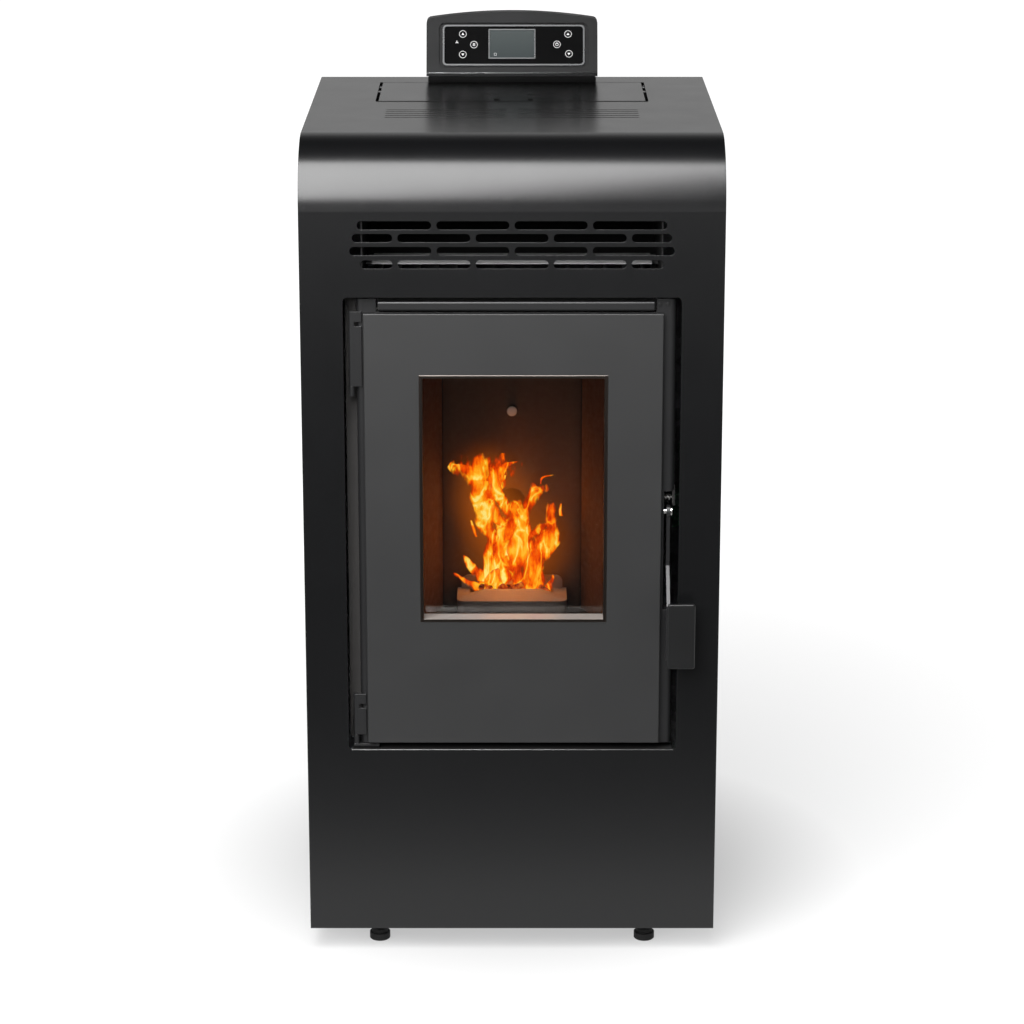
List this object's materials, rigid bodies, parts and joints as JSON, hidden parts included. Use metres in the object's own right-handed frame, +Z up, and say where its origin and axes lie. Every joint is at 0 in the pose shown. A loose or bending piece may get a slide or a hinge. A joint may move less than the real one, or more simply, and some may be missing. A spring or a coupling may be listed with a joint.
{
  "type": "pellet stove",
  "caption": "Freestanding black pellet stove: bent front and top sheet, slotted grille, windowed door with drop latch, flush hopper lid and tilted control console.",
  "frame": {"origin": "on the floor, under the middle of the whole stove's box", "axes": "+X right as seen from the front, +Y to the back (the door faces -Y), +Z up"},
  "size_m": [0.45, 0.548, 0.989],
  "materials": {
    "black_paint": "satin powder coat",
    "door_paint": "satin powder coat, a little lighter",
    "frame_paint": "satin",
    "galvanised": "zinc coated",
    "firebox_paint": "matte heat-proof paint",
    "hot_steel": "scorched",
    "cast_iron": "sooty",
    "vermiculite": "matte",
    "polished_steel": "polished",
    "window_glass": "clear",
    "sealing_rope": "braided glass fibre",
    "foot_rubber": "matte",
    "machined_steel": "machined",
    "motor_metal": "satin",
    "fan_aluminium": "mill finish",
    "console_plastic": "fine grained",
    "key_panel_gloss": "gloss",
    "silver_trim": "satin",
    "screen": "grey-green display",
    "circuit": "board",
    "inlet_plastic": "matte"
  },
  "bodies": {
    "root": {"ash_drawer": "galvanised", "back_lining": "hot_steel", "base_plate": "galvanised", "console_bezel": "silver_trim", "console_housing": "console_plastic", "control_board": "circuit", "exhaust_fan_housing": "firebox_paint", "exhaust_fan_motor": "motor_metal", "feed_gearmotor": "motor_metal", "feed_tube": "firebox_paint", "feet": "foot_rubber", "feet_studs": "polished_steel", "firebox": "firebox_paint", "flue_pipe": "firebox_paint", "front_cover": "black_paint", "heat_exchanger": "fan_aluminium", "hinge_brackets": "frame_paint", "hopper": "galvanised", "igniter": "machined_steel", "intake_pipe": "galvanised", "key_board": "circuit", "key_panel": "key_panel_gloss", "latch_keeper": "polished_steel", "left_side_panel": "black_paint", "lid_hinges": "galvanised", "mains_inlet": "inlet_plastic", "pellet_chute": "firebox_paint", "rear_panel": "galvanised", "right_side_panel": "black_paint", "room_fan_housing": "galvanised", "room_fan_motor": "motor_metal", "safety_thermostat": "inlet_plastic", "screen_frame": "silver_trim", "screen_glass": "screen", "side_linings": "hot_steel", "smoke_baffle": "vermiculite", "warm_air_duct": "galvanised"},
    "door": {"door_frame": "frame_paint", "door_seals": "sealing_rope", "door_panel": "door_paint", "window_trim": "polished_steel", "window_glass": "window_glass", "glass_clips": "polished_steel", "door_top_rail": "frame_paint", "hinge_leaves": "frame_paint", "latch_pin": "polished_steel"},
    "latch": {"latch_lever": "frame_paint", "handle_plate": "frame_paint"},
    "lid": {"hopper_lid": "black_paint"},
    "pot": {"burn_pot": "cast_iron"},
    "screw": {"feed_screw": "machined_steel"},
    "smoke_wheel": {"exhaust_fan_wheel": "machined_steel"},
    "room_drum": {"room_fan_drum": "fan_aluminium"},
    "rocker": {"rocker_switch": "inlet_plastic"},
    "key_up_left": {"key_up_left": "key_panel_gloss"},
    "key_set_left": {"key_set_left": "key_panel_gloss"},
    "key_down_left": {"key_down_left": "key_panel_gloss"},
    "key_up_right": {"key_up_right": "key_panel_gloss"},
    "key_power_right": {"key_power_right": "key_panel_gloss"},
    "key_down_right": {"key_down_right": "key_panel_gloss"}
  },
  "joints": [
    {"name": "door_swing", "type": "hinge", "parent": "root", "child": "door", "pos_m": [-0.171, -0.24, 0.4], "axis": [0, 0, -1], "range_deg": [0, 100]},
    {"name": "latch_turn", "type": "hinge", "parent": "door", "child": "latch", "pos_m": [0.169, -0.234, 0.507], "axis": [-1, 0, 0], "range_deg": [-7, 35]},
    {"name": "lid_lift", "type": "hinge", "parent": "root", "child": "lid", "pos_m": [0, 0.1684, 0.905], "axis": [-1, 0, 0], "range_deg": [0, 80]},
    {"name": "pot_lift", "type": "slide", "parent": "root", "child": "pot", "axis": [0, 0, 1], "range_m": [0, 0.04]},
    {"name": "screw_turn", "type": "hinge", "parent": "root", "child": "screw", "pos_m": [0, 0.137, 0.43], "axis": [0, -0.7071, 0.7071], "continuous": true},
    {"name": "smoke_wheel_spin", "type": "hinge", "parent": "root", "child": "smoke_wheel", "pos_m": [0.08, -0.035, 0.322], "axis": [0, 1, 0], "continuous": true},
    {"name": "room_drum_spin", "type": "hinge", "parent": "root", "child": "room_drum", "pos_m": [-0.055, 0.082, 0.112], "axis": [1, 0, 0], "continuous": true},
    {"name": "rocker_tilt", "type": "hinge", "parent": "root", "child": "rocker", "pos_m": [-0.17, 0.221, 0.211], "axis": [1, 0, 0], "range_deg": [-8, 8]},
    {"name": "press_up_left", "type": "slide", "parent": "root", "child": "key_up_left", "axis": [0, 0.9336, -0.3584], "range_m": [0, 0.0008], "stiffness_N_per_m": 800},
    {"name": "press_set_left", "type": "slide", "parent": "root", "child": "key_set_left", "axis": [0, 0.9336, -0.3584], "range_m": [0, 0.0008], "stiffness_N_per_m": 800},
    {"name": "press_down_left", "type": "slide", "parent": "root", "child": "key_down_left", "axis": [0, 0.9336, -0.3584], "range_m": [0, 0.0008], "stiffness_N_per_m": 800},
    {"name": "press_up_right", "type": "slide", "parent": "root", "child": "key_up_right", "axis": [0, 0.9336, -0.3584], "range_m": [0, 0.0008], "stiffness_N_per_m": 800},
    {"name": "press_power_right", "type": "slide", "parent": "root", "child": "key_power_right", "axis": [0, 0.9336, -0.3584], "range_m": [0, 0.0008], "stiffness_N_per_m": 800},
    {"name": "press_down_right", "type": "slide", "parent": "root", "child": "key_down_right", "axis": [0, 0.9336, -0.3584], "range_m": [0, 0.0008], "stiffness_N_per_m": 800}
  ]
}
